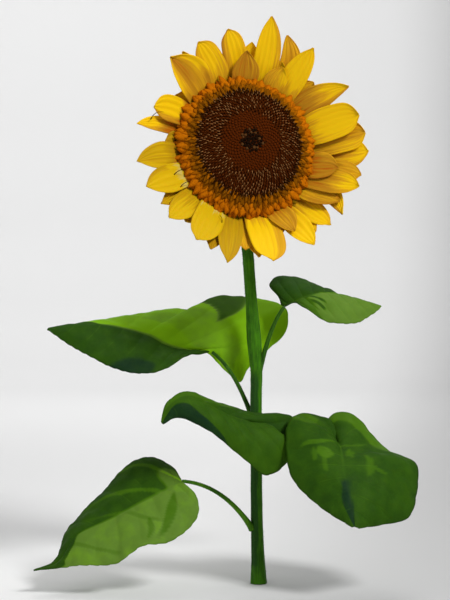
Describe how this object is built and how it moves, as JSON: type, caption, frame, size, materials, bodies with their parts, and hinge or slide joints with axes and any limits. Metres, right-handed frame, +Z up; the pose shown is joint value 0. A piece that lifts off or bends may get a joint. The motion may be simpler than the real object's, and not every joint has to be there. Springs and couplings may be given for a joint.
{
  "type": "sunflower plant",
  "caption": "Flowering sunflower plant: one leaning green stem with stalked heart-shaped leaves and one large yellow flower head with a dark seed disc that looks forward.",
  "frame": {"origin": "centre of the stem's flat foot at ground level", "axes": "+Z up the plant, -Y towards the viewer, whom the flower head faces, +X to the viewer's right"},
  "size_m": [0.4094, 0.198, 0.6136],
  "materials": {
    "stem": "satin green stem skin with short bristles",
    "leaf": "satin green leaf, paler beneath",
    "petal": "satin yellow petal",
    "floret": "matt orange-brown florets with pollen",
    "disc": "matt dark brown florets"
  },
  "bodies": {
    "root": {"stem": "stem", "stalk_upper_left": "stem", "leaf_upper_left": "leaf", "stalk_upper_right": "stem", "leaf_upper_right": "leaf", "stalk_middle": "stem", "leaf_middle": "leaf", "stalk_lower_right": "stem", "leaf_lower_right": "leaf", "stalk_lower_left": "stem", "leaf_lower_left": "leaf", "receptacle": "stem", "disc": "disc", "floret_ring": "floret", "petal_01": "petal", "petal_02": "petal", "petal_03": "petal", "petal_04": "petal", "petal_05": "petal", "petal_06": "petal", "petal_07": "petal", "petal_08": "petal", "petal_09": "petal", "petal_10": "petal", "petal_11": "petal", "petal_12": "petal", "petal_13": "petal", "petal_14": "petal", "petal_15": "petal", "petal_16": "petal", "petal_17": "petal", "petal_18": "petal", "petal_19": "petal", "petal_20": "petal", "petal_21": "petal", "petal_22": "petal", "petal_23": "petal", "petal_24": "petal", "petal_25": "petal", "petal_26": "petal", "petal_27": "petal", "petal_28": "petal", "petal_29": "petal", "petal_30": "petal", "petal_31": "petal", "petal_32": "petal", "petal_33": "petal", "petal_34": "petal", "petal_35": "petal", "petal_36": "petal", "petal_37": "petal", "petal_38": "petal", "petal_39": "petal"}
  },
  "joints": []
}
